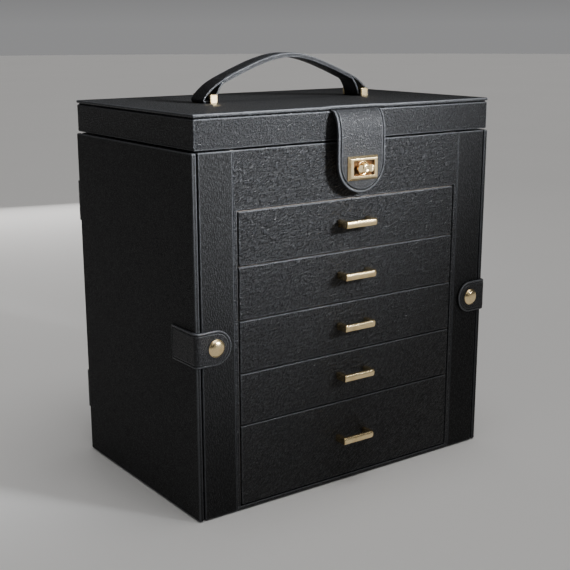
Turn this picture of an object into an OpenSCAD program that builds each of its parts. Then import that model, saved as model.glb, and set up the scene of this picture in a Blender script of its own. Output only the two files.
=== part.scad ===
// Jewelry armoire: a leather-covered chest with a hinged lid, five drawers and a
// swing-out door on each side. Origin at the centre of the underside, front towards -Y.

/* [Overall] */
// Width of the lid, side to side
lid_w = 310; // [302:1:326]
// Depth of the lid, front to back
lid_d = 200; // [192:1:216]
// Height from the surface it stands on to the top of the lid
total_h = 330; // [329:1:342]

/* [Lid] */
// Height of the lid, rim and top board together
lid_h = 27.5; // [26:0.5:28]
// Thickness of the turned top board
top_board_t = 2.5; // [2:0.1:3]
// Overhang of the top board past the rim
top_overhang = 0.5; // [0:0.1:1]
// Height of the shadow groove under the top board
groove_h = 1.3; // [1.3:0.1:1.6]
// Depth of the shadow groove
groove_d = 1.5; // [1:0.1:3]
// Thickness of the rim walls
rim_t = 4; // [3:0.5:5]
// Gap between the lid and the body
lid_gap = 1.5; // [1.4:0.1:1.7]

/* [Body] */
// Thickness of the carcass boards
board_t = 3; // [2.6:0.1:3.4]
// Width of the fixed stile in front of each side compartment
stile_w = 31; // [30:0.5:33]
// Width of the slim leg between stile and drawers
leg_w = 3.5; // [3.5:0.1:5]
// Thickness of the felt pad under the base
felt_t = 0.8; // [0.5:0.1:1.5]
// Height of the base board's upper face
base_top = 4; // [3.5:0.1:5]

/* [Side doors] */
// Thickness of the doors
door_t = 4; // [3.5:0.1:4.5]
// Distance that the doors stand proud of the lid
door_proud = 2; // [1.5:0.1:2.5]
// Gap between door and carcass
door_gap = 1.5; // [1.5:0.1:1.8]

/* [Drawers] */
// Height of each shallow drawer's place
drawer_pitch = 44.6; // [44:0.1:45]
// Height of the deep bottom drawer's place
deep_pitch = 70.4; // [68:0.1:71]
// Gap round each drawer front
front_gap = 1.2; // [0.8:0.1:1.6]
// Depth of the drawer boxes behind their fronts
box_d = 185; // [150:1:186]
// Length of the pulls
pull_l = 32; // [28:1:40]
// Height of the pulls
pull_h = 6.2; // [5:0.1:8]
// Distance that the pulls stand out
pull_out = 13.5; // [11:0.5:18]

/* [Closure tab] */
// Width of the leather tab
tab_w = 50; // [46:1:56]
// Length that the tab hangs down in front
tab_drop = 68.4; // [66:0.1:70]
// Thickness of the tab
tab_t = 3; // [2.5:0.1:3.2]
// Distance from the front of the chest to the tab's front face
tab_out = 11; // [11:0.1:11.5]

/* [Handle] */
// Distance between the two staples
staple_span = 165; // [150:1:170]
// Rise of the grip's middle above the top of the lid
grip_rise = 38.5; // [36:0.5:46]
// Width of the handle strap
strap_w = 20; // [18:0.5:21]

/* [Side straps] */
// Height of the snap above the surface
snap_z = 147; // [100:1:200]
// Width of the strap
side_strap_w = 28.6; // [24:0.2:30]
// Diameter of the snap's cap
cap_d = 15; // [12:0.5:18]

/* [Hidden] */
$fn = 48;
eps = 0.01;

// Finishes
leather = "#25262a";
side_leather = "#2b2c2f";
gold = "#d9c08c";
lacquer = "#1c1c1d";
lining = "#8d8377";
board_brown = "#5d4a3a";

// Planes of the carcass
front_y = -lid_d / 2;
back_y = lid_d / 2;
inner_front_y = front_y + board_t;
inner_back_y = back_y - board_t;
door_x = lid_w / 2 + door_proud;
carcass_x = door_x - door_t - door_gap;
stile_x = carcass_x - stile_w;
divider_x = stile_x - board_t;
lid_z = total_h - lid_h;
body_top = lid_z - lid_gap;
top_z = total_h - top_board_t;
rim_top = top_z - groove_h;

// Drawer places
drawer_base = base_top + 0.6;
shelf_t = 2;
function place_lo(n) = n == 5 ? drawer_base : drawer_base + deep_pitch + (4 - n) * drawer_pitch;
function place_hi(n) = place_lo(n) + (n == 5 ? deep_pitch : drawer_pitch);
drawer_x = stile_x - leg_w;
front_half = drawer_x - 1.5;
box_half = drawer_x - 0.8;
box_wall = 2.5;
box_floor = 2;
pull_up = 2;
post_w = 4;
bar_t = 4.5;
screw_r = 1.5;
screw_clear = 0.1;
// Columns and rows that each drawer's lining is divided into
cell_cols = [2, 3, 2, 1, 1];
cell_rows = [2, 1, 1, 2, 1];

// Hinges
knuckle_r = 1.7;
pin_r = 0.9;
fixed_bore_r = 0.92;
moving_bore_r = 0.95;
leaf_t = 0.8;
hinge_len = 36;
axis_off = 1.9;
hinge_y = back_y + axis_off;
lid_hinge_z = body_top + lid_gap / 2;
lid_hinge_x = 95;
door_hinge_x = door_x - 2.5;
door_hinge_zs = [60, 240];
door_leaf_clear = axis_off + 0.9;

// Turn lock
lock_z = 279.6 + total_h - 330;
plate_w = 32;
plate_h = 20;
plate_t = 2.7;
plate_bevel = 2;
slot_w = 22;
slot_h = 12.5;
shaft_r = 2.2;
cam_r = 6.25;
cam_w = 4.5;
tab_front = front_y - tab_out;
tab_back = tab_front + tab_t;
fold_y = front_y - 1;
fold_start = 0.9;
tongue_t = 1.1;
tab_fall = 22;
tab_top = top_z - 0.1;

// Handle
staple_x = staple_span / 2;
staple_leg_w = 7;
staple_leg_d = 2.5;
staple_bar_w = 3.5;
staple_bar_z = total_h + 5.5;
staple_bar_t = 2;
staple_half = 14.25;
grip_t = 3.6;
ply_t = 1.6;
grip_end = staple_x - 12.5;
grip_slope = 0.49;
grip_nose = 18;

// Side straps
side_strap_t = 2.2;
snap_x = carcass_x - 11.5;
strap_y = front_y - 1;
strap_start = 154.3 - 157 + door_x;
shank_r = 2;

function mix2(a, b, t) = a * (1 - t) + b * t;
function bezier(p, t) = mix2(mix2(mix2(p[0], p[1], t), mix2(p[1], p[2], t), t),
                             mix2(mix2(p[1], p[2], t), mix2(p[2], p[3], t), t), t);
function unit(v) = v / norm(v);
function side_of(v) = [-v[1], v[0]];
// Points of a path moved sideways by d
function shifted(path, d) = [
  for (i = [0 : len(path) - 1])
    let (a = path[max(i - 1, 0)], b = path[min(i + 1, len(path) - 1)])
      path[i] + d * side_of(unit(b - a))
];
function turned(list) = [for (i = [len(list) - 1 : -1 : 0]) list[i]];

module between(lo, hi) {
  translate(lo) cube(hi - lo);
}

// A block with its vertical edges rounded, centred on X and Y
module round_slab(w, d, h, r) {
  union() {
    translate([-w / 2 + r, -d / 2, 0]) cube([w - 2 * r, d, h]);
    translate([-w / 2, -d / 2 + r, 0]) cube([w, d - 2 * r, h]);
    for (x = [-1, 1], y = [-1, 1])
      translate([x * (w / 2 - r), y * (d / 2 - r), 0]) cylinder(h = h, r = r);
  }
}

// A cylinder along -Y, from y0 forward to y1
module forward_rod(x, z, y0, y1, r) {
  translate([x, y0, z]) rotate([90, 0, 0]) cylinder(h = y0 - y1, r = r);
}

// Both sides of the chest
module both_sides() {
  children();
  mirror([1, 0, 0]) children();
}

// ---- Carcass ----

module base_felt() {
  color("black")
    between([-carcass_x + 4, front_y + 4, 0], [carcass_x - 4, back_y - 4, felt_t]);
}

module base_board() {
  color(leather) union() {
    between([-carcass_x, inner_front_y, felt_t], [carcass_x, inner_back_y, base_top]);
    between([-stile_x, front_y, felt_t], [stile_x, inner_front_y + eps, base_top]);
  }
}

module back_panel() {
  color(side_leather)
    between([-carcass_x, inner_back_y, felt_t], [carcass_x, back_y, body_top]);
}

module divider() {
  color(lining)
    between([divider_x, inner_front_y, base_top], [stile_x, inner_back_y, body_top]);
}
module left_divider() { mirror([1, 0, 0]) divider(); }
module right_divider() { divider(); }

module stile() {
  color(leather)
    between([stile_x, front_y, felt_t], [carcass_x, inner_front_y, body_top]);
}
module left_stile() { mirror([1, 0, 0]) stile(); }
module right_stile() { stile(); }

module side_roofs() {
  color(leather) both_sides()
    between([stile_x, inner_front_y, body_top - board_t], [carcass_x, inner_back_y, body_top]);
}

// Fascia and the two slim legs beside the drawers, one covered board
module front_frame() {
  color(leather) difference() {
    between([-stile_x, front_y, base_top], [stile_x, inner_front_y, body_top]);
    between([-drawer_x, front_y - 1, base_top - 1], [drawer_x, back_y, place_hi(1) + 0.6]);
  }
}

module tray_floor() {
  color(board_brown)
    between([-divider_x, inner_front_y, place_hi(1) - shelf_t / 2],
            [divider_x, inner_back_y, place_hi(1) + shelf_t / 2]);
}

module drawer_shelves() {
  color(board_brown) for (n = [1 : 4])
    between([-divider_x, inner_front_y + 0.5, place_lo(n) - shelf_t / 2],
            [divider_x, inner_back_y, place_lo(n) + shelf_t / 2]);
}

// ---- Fittings inside ----

tray_z = place_hi(1) + shelf_t / 2;
tray_pad_t = 1.6;
tray_h = 32;
tray_wall = 2;
tray_half_x = divider_x - 0.5;
tray_half_y = lid_d / 2 - board_t - 0.5;
roll_wall_x = -10;
roll_r = 11;
roll_count = 8;

// Lined tray in the upper compartment: ring rolls on the left, two cells on the right
module tray_insert() {
  color(lining) difference() {
    between([-tray_half_x, -tray_half_y, tray_z], [tray_half_x, tray_half_y, tray_z + tray_h]);
    between([-tray_half_x + tray_wall, -tray_half_y + tray_wall, tray_z + tray_pad_t],
            [roll_wall_x, tray_half_y - tray_wall, body_top]);
    for (side = [0, 1]) mirror([0, side, 0])
      between([roll_wall_x + tray_wall, tray_wall / 2, tray_z + tray_pad_t],
              [tray_half_x - tray_wall, tray_half_y - tray_wall, body_top]);
  }
}

module ring_rolls() {
  roll_lo = -tray_half_x + tray_wall + 1;
  roll_len = roll_wall_x - 1 - roll_lo;
  pitch = (2 * tray_half_y - 2 * tray_wall - 1) / roll_count;
  color("#b7aa98") for (i = [0 : roll_count - 1])
    translate([roll_lo, (i - (roll_count - 1) / 2) * pitch, tray_z + tray_pad_t + roll_r + 0.1])
      rotate([0, 90, 0]) cylinder(h = roll_len, r = roll_r);
}

hook_ys = [-64, -32, 0, 32, 64];
hook_z = body_top - 20;

module necklace_hooks() {
  color(gold) both_sides() for (y = hook_ys) union() {
    translate([stile_x, y, hook_z]) rotate([0, 90, 0]) cylinder(h = 12, r = 1.4);
    translate([stile_x, y, hook_z]) rotate([0, 90, 0]) cylinder(h = 1, r = 3);
    translate([stile_x + 12, y, hook_z - 1.4]) cylinder(h = 7, r = 1.4);
  }
}

pocket_d = 11;
pocket_half = 80;
pocket_top = 70;
pocket_wall = 1;

// Open-topped fabric pouches that hold the ends of the necklaces
module side_pockets() {
  color(lining) both_sides() difference() {
    between([stile_x, -pocket_half, base_top + 2], [stile_x + pocket_d, pocket_half, pocket_top]);
    between([stile_x + pocket_wall, -pocket_half + pocket_wall, base_top + 2 + pocket_wall],
            [stile_x + pocket_d - pocket_wall, pocket_half - pocket_wall, pocket_top + 1]);
  }
}

module snap_studs() {
  color(gold) both_sides() union() {
    forward_rod(snap_x, snap_z, front_y, front_y - 0.4, 5);
    forward_rod(snap_x, snap_z, front_y, front_y - 0.7, 2.6);
  }
}

// Catch on the fascia: a round pocket for the cam, open at the top and front by a slot
module lock_keeper() {
  lip_y = front_y - 5.3;
  color(gold) difference() {
    between([-11, front_y - 7, lock_z - 9], [11, front_y, lock_z + 8.4]);
    forward_rod(0, lock_z, front_y - 1.6, lip_y, cam_r + 0.55);
    between([-cam_w / 2 - 0.45, front_y - 8, lock_z - cam_r - 0.65],
            [cam_w / 2 + 0.45, front_y - 1.6, lock_z + 10]);
  }
}

// ---- Hinges ----

// Leaf with its knuckles on the X axis; its plate hangs towards -Z, its face at y = -face
module hinge_leaf(width, face, clear, bore_r, segments) {
  difference() {
    union() {
      between([-hinge_len / 2, -face, -width], [hinge_len / 2, leaf_t - face, -clear]);
      for (s = segments) {
        between([s[0], -face, -clear - eps], [s[1], -1.1, 0]);
        translate([s[0], 0, 0]) rotate([0, 90, 0]) cylinder(h = s[1] - s[0], r = knuckle_r);
      }
    }
    translate([-hinge_len, 0, 0]) rotate([0, 90, 0]) cylinder(h = 2 * hinge_len, r = bore_r);
  }
}

outer_segments = [[-hinge_len / 2, -hinge_len / 6 - 0.15], [hinge_len / 6 + 0.15, hinge_len / 2]];
middle_segment = [[-hinge_len / 6 + 0.15, hinge_len / 6 - 0.15]];

module at_lid_hinge() {
  translate([lid_hinge_x, hinge_y, lid_hinge_z]) children();
}

module at_door_hinges() {
  for (z = door_hinge_zs) translate([door_hinge_x, hinge_y, z]) children();
}

module hinge_body_leaves() {
  color(lacquer) both_sides() {
    at_lid_hinge() hinge_leaf(16, axis_off, 2.2, fixed_bore_r, outer_segments);
    at_door_hinges() rotate([0, 90, 0])
      hinge_leaf(20, axis_off, 3.1, fixed_bore_r, outer_segments);
  }
}

module hinge_pins() {
  color("silver") both_sides() {
    at_lid_hinge() translate([-hinge_len / 2, 0, 0]) rotate([0, 90, 0])
      cylinder(h = hinge_len, r = pin_r);
    at_door_hinges() translate([0, 0, -hinge_len / 2]) cylinder(h = hinge_len, r = pin_r);
  }
}

module lid_hinge_leaves() {
  color(lacquer) both_sides() at_lid_hinge() mirror([0, 0, 1])
    hinge_leaf(16, axis_off, 2.2, moving_bore_r, middle_segment);
}

// The plate lies in the gap behind the door, against its inner face
module door_leaves() {
  inner_face = door_hinge_x - (door_x - door_t);
  color(lacquer) at_door_hinges() rotate([0, -90, -90])
    hinge_leaf(30, inner_face + leaf_t, door_leaf_clear, moving_bore_r, middle_segment);
}
module left_door_leaves() { mirror([1, 0, 0]) door_leaves(); }
module right_door_leaves() { door_leaves(); }

// ---- Lid ----

module lid_rim() {
  color(leather) difference() {
    between([-lid_w / 2, front_y, lid_z], [lid_w / 2, back_y, rim_top]);
    between([-lid_w / 2 + rim_t, front_y + rim_t, lid_z - 1],
            [lid_w / 2 - rim_t, back_y - rim_t, rim_top + 1]);
  }
}

// Turned top board on a slightly smaller board, which leaves the groove and the tab's slot
module lid_top_board() {
  over = top_overhang;
  color(leather) difference() {
    union() {
      between([-lid_w / 2 - over, front_y - over, top_z], [lid_w / 2 + over, back_y + over, total_h]);
      between([-lid_w / 2 + groove_d, front_y + groove_d, rim_top],
              [lid_w / 2 - groove_d, back_y - groove_d, top_z + eps]);
    }
    between([-tab_w / 2 - 0.3, front_y - 1, rim_top - 1], [tab_w / 2 + 0.3, front_y + 40, top_z]);
  }
}

module lid_mirror() {
  color("lightblue") between([-105, -70, rim_top - 2.4], [105, 70, rim_top]);
}

module tab_anchor() {
  color(leather)
    between([-tab_w / 2, fold_y, tab_top - tongue_t], [tab_w / 2, front_y + 38, tab_top]);
}

module handle_staples() {
  color(gold) both_sides() translate([staple_x, 0, 0]) union() {
    for (side = [0, 1]) mirror([0, side, 0])
      between([-staple_leg_w / 2, staple_half - staple_leg_d, total_h],
              [staple_leg_w / 2, staple_half, staple_bar_z + staple_bar_t]);
    between([-staple_bar_w / 2, -staple_half + eps, staple_bar_z],
            [staple_bar_w / 2, staple_half - eps, staple_bar_z + staple_bar_t]);
  }
}

// ---- Handle ----

// Drop of the grip's centre line below its middle: a round nose with straight flanks
function grip_drop(x) = norm([grip_nose, grip_slope * x]) - grip_nose;
grip_steps = 24;
grip_line = [for (i = [-1 : 2 / grip_steps : 1])
  [grip_end * i, total_h + grip_rise - grip_drop(grip_end * i)]];

module across(w) {
  rotate([90, 0, 0]) linear_extrude(height = w, center = true) children();
}

module handle_grip() {
  color(leather) across(strap_w)
    polygon(concat(shifted(grip_line, grip_t / 2), turned(shifted(grip_line, -grip_t / 2))));
}

// Centre line of one end loop: out of the grip, round under the staple, back to the grip
loop_turn = 1.6;
loop_low = total_h + 0.3 + ply_t / 2;
loop_z = loop_low + loop_turn;
loop_out = staple_x + 6;
loop_in = staple_x - 2.7;
loop_lean = 35;
loop_start = grip_line[grip_steps];
loop_tangent = unit(loop_start - grip_line[grip_steps - 1]);
outer_start = loop_start + 0.05 * loop_tangent + grip_t / 4 * side_of(loop_tangent);
inner_start = loop_start + 0.05 * loop_tangent - grip_t / 4 * side_of(loop_tangent);
outer_foot = [loop_out, loop_z] + loop_turn * [cos(loop_lean), sin(loop_lean)];
inner_foot = [loop_in - loop_turn, loop_z];
loop_path = concat(
  [for (i = [0 : 9]) bezier([outer_start, outer_start + 9 * loop_tangent,
    outer_foot + 6 * [-sin(loop_lean), cos(loop_lean)], outer_foot], i / 10)],
  [for (a = [loop_lean : -25 : -90]) [loop_out, loop_z] + loop_turn * [cos(a), sin(a)]],
  [for (a = [-90 : -22.5 : -157.5]) [loop_in, loop_z] + loop_turn * [cos(a), sin(a)]],
  [for (i = [0 : 8]) bezier([inner_foot, inner_foot + [-1.2, 5.3],
    inner_start + 3.5 * loop_tangent, inner_start], i / 8)]);

module handle_loops() {
  half = ply_t / 2 - 0.03;
  color(leather) both_sides() across(strap_w)
    polygon(concat(shifted(loop_path, half), turned(shifted(loop_path, -half))));
}

// ---- Closure tab and turn lock ----

// Quarter ellipse from the fold forward and down
function tab_curve(y, reach, fall) =
  [for (a = [90 : 7.5 : 180]) [y + reach * cos(a), tab_top - tab_fall + fall * sin(a)]];

module closure_tab() {
  start_y = fold_y - fold_start;
  reach = start_y - tab_front;
  tip_z = tab_top - tab_drop;
  profile = concat(
    tab_curve(start_y, reach, tab_fall),
    [[tab_front, tip_z - 1], [tab_back, tip_z - 1]],
    turned(tab_curve(start_y, reach - tab_t, tab_fall - tab_t)));
  color(leather) difference() {
    intersection() {
      rotate([90, 0, 90]) linear_extrude(height = tab_w, center = true) polygon(profile);
      union() {
        between([-tab_w, tab_front - 1, tip_z + tab_w / 2], [tab_w, front_y, total_h]);
        forward_rod(0, tip_z + tab_w / 2, front_y, tab_front - 1, tab_w / 2);
      }
    }
    forward_rod(0, lock_z, tab_back + 1, tab_front - 1, shaft_r + 0.05);
  }
}

// Trapezoid that narrows towards the front, for the bevelled frame
module bevel_profile(w) {
  polygon([[-w / 2, 0], [w / 2, 0], [w / 2, -plate_t + plate_bevel],
           [w / 2 - plate_bevel, -plate_t], [-w / 2 + plate_bevel, -plate_t],
           [-w / 2, -plate_t + plate_bevel]]);
}

module lock_plate() {
  floor_t = 0.6;
  color(gold) translate([0, tab_front, lock_z]) difference() {
    intersection() {
      linear_extrude(height = plate_h, center = true) bevel_profile(plate_w);
      rotate([0, 90, 0]) linear_extrude(height = plate_w, center = true) bevel_profile(plate_h);
    }
    between([-slot_w / 2, -plate_t - 1, -slot_h / 2], [slot_w / 2, -floor_t, slot_h / 2]);
    rotate([90, 0, 0]) translate([0, 0, -1]) cylinder(h = 3, r = shaft_r + 0.3);
  }
}

// Wings and boss in front, washer behind the tab, cam in the keeper
module turn_knob() {
  wing_back = tab_front - plate_t - 0.3;
  wing_front = wing_back - 2.2;
  wing_reach = 5.8;
  wing_r = 2.7;
  cam_y = front_y - 2.4;
  color(gold) union() {
    forward_rod(0, lock_z, cam_y, tab_front - 1.5, shaft_r);
    forward_rod(0, lock_z, tab_front - 0.9, wing_front - 0.8, 4.5);
    between([-wing_reach, wing_front, lock_z - wing_r], [wing_reach, wing_back, lock_z + wing_r]);
    for (x = [-wing_reach, wing_reach]) forward_rod(x, lock_z, wing_back, wing_front, wing_r);
    forward_rod(0, lock_z, tab_back + 0.6, tab_back + 0.1, 4);
    intersection() {
      forward_rod(0, lock_z, cam_y, cam_y - 2.2, cam_r);
      between([-cam_w / 2, cam_y - 3, lock_z - 10], [cam_w / 2, cam_y + 1, lock_z + 10]);
    }
  }
}

// ---- Side doors and their straps ----

module door() {
  color(side_leather)
    between([door_x - door_t, front_y, felt_t], [door_x, back_y - 1, body_top]);
}
module left_door() { mirror([1, 0, 0]) door(); }
module right_door() { door(); }

module strap_base() {
  color(leather)
    between([door_x, front_y + 2, snap_z - side_strap_w / 2],
            [door_x + side_strap_t, front_y + 35, snap_z + side_strap_w / 2]);
}
module left_strap_base() { mirror([1, 0, 0]) strap_base(); }
module right_strap_base() { strap_base(); }

module strap_end() {
  half = side_strap_w / 2;
  color(leather) difference() {
    union() {
      between([snap_x, strap_y - side_strap_t, snap_z - half], [strap_start, strap_y, snap_z + half]);
      forward_rod(snap_x, snap_z, strap_y, strap_y - side_strap_t, half);
    }
    forward_rod(snap_x, snap_z, strap_y + 1, strap_y - side_strap_t - 1, shank_r + 0.05);
  }
}
module left_strap_end() { mirror([1, 0, 0]) strap_end(); }
module right_strap_end() { strap_end(); }

// Domed cap turned in one with its shank
module snap_cap() {
  rim = 0.5;
  dome = 2.8;
  r = cap_d / 2;
  ball_r = (r * r + dome * dome) / (2 * dome);
  edge_angle = asin(r / ball_r);
  shank = side_strap_t - 0.3;
  profile = concat(
    [[0, -shank], [shank_r, -shank], [shank_r, 0], [r, 0]],
    [for (i = [0 : 8]) let (a = edge_angle * (1 - i / 8))
      [ball_r * sin(a), rim + dome - ball_r + ball_r * cos(a)]]);
  color(gold) translate([snap_x, strap_y - side_strap_t, snap_z])
    rotate([90, 0, 0]) rotate_extrude() polygon(profile);
}
module left_snap_cap() { mirror([1, 0, 0]) snap_cap(); }
module right_snap_cap() { snap_cap(); }

// ---- Drawers ----

function pull_z(n) = (place_lo(n) + place_hi(n)) / 2 + pull_up;
pull_post_x = pull_l / 2 - post_w / 2;

module screw_holes(n, r) {
  for (x = [-pull_post_x, pull_post_x])
    forward_rod(x, pull_z(n), front_y + 10, front_y - 6, r);
}

module drawer_front(n) {
  color(leather) difference() {
    between([-front_half, front_y, place_lo(n) + front_gap / 2],
            [front_half, inner_front_y, place_hi(n) - front_gap / 2]);
    screw_holes(n, screw_r + screw_clear);
  }
}

function box_lo(n) = place_lo(n) + shelf_t / 2 + 0.4;
function box_hi(n) = place_hi(n) - shelf_t / 2 - 3;
box_back_y = inner_front_y + box_d;

module drawer_box(n) {
  color(board_brown) difference() {
    between([-box_half, inner_front_y, box_lo(n)], [box_half, box_back_y, box_hi(n)]);
    between([-box_half + box_wall, inner_front_y + box_wall, box_lo(n) + box_floor],
            [box_half - box_wall, box_back_y - box_wall, box_hi(n) + 1]);
    screw_holes(n, screw_r + screw_clear);
  }
}

// Padded floor with upright partitions
module drawer_insert(n) {
  pad = 1.2;
  wall = 2;
  x = box_half - box_wall - 0.4;
  y0 = inner_front_y + box_wall + 3;
  y1 = box_back_y - box_wall - 0.4;
  lo = box_lo(n) + box_floor;
  hi = box_hi(n) - 6;
  cols = cell_cols[n - 1];
  rows = cell_rows[n - 1];
  color(lining) union() {
    between([-x, y0, lo], [x, y1, lo + pad]);
    if (cols > 1) for (i = [1 : cols - 1])
      translate([2 * x * i / cols - x, 0, 0]) between([-wall / 2, y0, lo], [wall / 2, y1, hi]);
    if (rows > 1) for (i = [1 : rows - 1])
      translate([0, y0 + (y1 - y0) * i / rows, 0]) between([-x, -wall / 2, lo], [x, wall / 2, hi]);
  }
}

// Bow pull and the two screws that hold it from inside the drawer
module drawer_pull(n) {
  z = pull_z(n);
  corner = 3;
  head_y = inner_front_y + box_wall;
  color(gold) {
    difference() {
      translate([0, front_y, z - pull_h / 2]) round_slab(pull_l, 2 * pull_out, pull_h, corner);
      between([-pull_l, front_y, z - pull_h], [pull_l, back_y, z + pull_h]);
      between([-pull_l / 2 + post_w, front_y - pull_out + bar_t, z - pull_h],
              [pull_l / 2 - post_w, front_y + 1, z + pull_h]);
      screw_holes(n, screw_r + 0.05);
    }
    for (x = [-pull_post_x, pull_post_x]) {
      forward_rod(x, z, head_y + eps, front_y - 5.5, screw_r);
      forward_rod(x, z, head_y + 1.4, head_y, 2.8);
    }
  }
}

base_felt();
base_board();
back_panel();
left_divider();
right_divider();
left_stile();
right_stile();
side_roofs();
front_frame();
tray_floor();
drawer_shelves();
tray_insert();
ring_rolls();
necklace_hooks();
side_pockets();
snap_studs();
lock_keeper();
hinge_body_leaves();
hinge_pins();
lid_rim();
lid_top_board();
lid_mirror();
lid_hinge_leaves();
handle_staples();
tab_anchor();
handle_grip();
handle_loops();
closure_tab();
lock_plate();
turn_knob();
left_door();
right_door();
left_door_leaves();
right_door_leaves();
left_strap_base();
right_strap_base();
left_strap_end();
right_strap_end();
left_snap_cap();
right_snap_cap();
drawer_front(1);  // drawer_1_front
drawer_box(1);  // drawer_1_box
drawer_insert(1);  // drawer_1_insert
drawer_pull(1);  // drawer_1_pull
drawer_front(2);  // drawer_2_front
drawer_box(2);  // drawer_2_box
drawer_insert(2);  // drawer_2_insert
drawer_pull(2);  // drawer_2_pull
drawer_front(3);  // drawer_3_front
drawer_box(3);  // drawer_3_box
drawer_insert(3);  // drawer_3_insert
drawer_pull(3);  // drawer_3_pull
drawer_front(4);  // drawer_4_front
drawer_box(4);  // drawer_4_box
drawer_insert(4);  // drawer_4_insert
drawer_pull(4);  // drawer_4_pull
drawer_front(5);  // drawer_5_front
drawer_box(5);  // drawer_5_box
drawer_insert(5);  // drawer_5_insert
drawer_pull(5);  // drawer_5_pull
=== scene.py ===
import math

import bmesh
import bpy
from mathutils import Matrix, Vector


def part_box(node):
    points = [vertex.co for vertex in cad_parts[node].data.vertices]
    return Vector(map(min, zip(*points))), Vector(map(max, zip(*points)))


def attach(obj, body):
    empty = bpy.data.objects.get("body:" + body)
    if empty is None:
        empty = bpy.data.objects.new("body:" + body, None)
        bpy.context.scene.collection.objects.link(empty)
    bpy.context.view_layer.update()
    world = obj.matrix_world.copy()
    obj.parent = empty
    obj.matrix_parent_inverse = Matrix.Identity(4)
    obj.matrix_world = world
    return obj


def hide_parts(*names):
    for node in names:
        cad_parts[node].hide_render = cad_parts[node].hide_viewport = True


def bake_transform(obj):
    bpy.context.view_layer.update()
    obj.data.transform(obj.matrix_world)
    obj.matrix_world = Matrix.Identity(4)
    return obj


# Jewelry armoire: covered boards, straps, fittings and linings on the CAD frame. Metres, front towards -Y.
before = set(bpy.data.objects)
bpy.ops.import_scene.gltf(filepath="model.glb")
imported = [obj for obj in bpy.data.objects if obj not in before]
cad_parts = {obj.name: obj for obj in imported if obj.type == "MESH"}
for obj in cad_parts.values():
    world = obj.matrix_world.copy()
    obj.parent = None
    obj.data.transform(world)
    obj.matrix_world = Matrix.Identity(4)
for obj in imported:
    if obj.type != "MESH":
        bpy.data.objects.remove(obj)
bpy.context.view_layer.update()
mm = 0.001
sides = {"left": -1, "right": 1}
drawers = (1, 2, 3, 4, 5)


def smooth(value):
    value = min(max(value, 0.0), 1.0)
    return value * value * (3 - 2 * value)


def addObject(name, data):
    made = bpy.data.objects.new(name, data)
    bpy.context.scene.collection.objects.link(made)
    return made


cameraLook = {
    "place": (-0.5685, -0.7907, 0.3950),
    "turn": -35.54,  # degrees round the chest, negative is to the left
    "tilt": 14.18,
    "roll": -0.18,
    "lens": 67.63,
    "sensor": 36,
    "shift": (0.0068, 0.0167),
    "clip": (0.05, 50),
}


def makeCamera(look):
    data = bpy.data.cameras.new("studioCamera")
    camera = addObject("studioCamera", data)
    turn, tilt, roll = (math.radians(look[key]) for key in ("turn", "tilt", "roll"))
    upright = Matrix.Rotation(turn, 4, "Z") @ Matrix.Rotation(math.pi / 2 - tilt, 4, "X")
    camera.matrix_world = Matrix.Translation(look["place"]) @ upright @ Matrix.Rotation(roll, 4, "Z")
    data.lens, data.sensor_width = look["lens"], look["sensor"]
    data.shift_x, data.shift_y = look["shift"]
    data.clip_start, data.clip_end = look["clip"]
    bpy.context.scene.camera = camera


# spread is the width of the beam in degrees
lightLook = {
    "key": {"place": (0.45, -0.92, 0.66), "aim": (-0.06, -0.1, 0.41), "size": (0.18, 0.18),
            "spread": 33, "power": 2.5, "colour": (0.94, 0.97, 1.0)},
    "left": {"place": (-1.3, -0.3, 0.8), "aim": (-0.1, 0, 0.25), "size": (0.7, 0.7),
             "spread": 120, "power": 0.3, "colour": (0.95, 0.98, 1.0)},
    "back": {"place": (0.35, 1.5, 0.16), "aim": (0, 0.1, 0.16), "size": (0.9, 0.26),
             "spread": 140, "power": 2.5, "colour": (1.0, 0.98, 0.96)},
    "strip": {"place": (-0.1, -1.0, 1.15), "aim": (0, -0.1, 0.25), "size": (1.6, 0.45),
              "spread": 160, "power": 1.0, "colour": (1.0, 0.99, 0.97)},
}
# wide soft light from overhead
overheadLook = {"from": (0.10, -0.20, 1.0), "strength": 1.3, "softness": 50, "colour": (1.0, 0.985, 0.97)}


def pointAlong(light, direction):
    light.rotation_euler = direction.to_track_quat("-Z", "Y").to_euler()


def makeLights(look, overhead):
    for name, values in look.items():
        data = bpy.data.lights.new(name + "Light", "AREA")
        data.shape = "RECTANGLE"
        data.size, data.size_y = values["size"]
        data.spread = math.radians(values["spread"])
        data.energy = values["power"]
        data.color = values["colour"]
        light = addObject(name + "Light", data)
        light.location = values["place"]
        pointAlong(light, Vector(values["aim"]) - light.location)
        light.visible_camera = False
    data = bpy.data.lights.new("overheadLight", "SUN")
    data.energy, data.color = overhead["strength"], overhead["colour"]
    data.angle = math.radians(overhead["softness"])
    light = addObject("overheadLight", data)
    light.location = Vector(overhead["from"]) * 2
    pointAlong(light, -Vector(overhead["from"]))


class Signal:
    # one output of a node; arithmetic on it adds Math nodes
    def __init__(self, finish, socket):
        self.finish = finish
        self.socket = socket

    def math(self, operation, *values):
        return self.finish.node("ShaderNodeMath", {"operation": operation}, values)

    def __add__(self, other):
        return self.math("ADD", self, other)

    def __mul__(self, other):
        return self.math("MULTIPLY", self, other)

    def __sub__(self, other):
        return self.math("SUBTRACT", self, other)

    def __rsub__(self, other):
        return self.math("SUBTRACT", other, self)

    __radd__ = __add__


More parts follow.
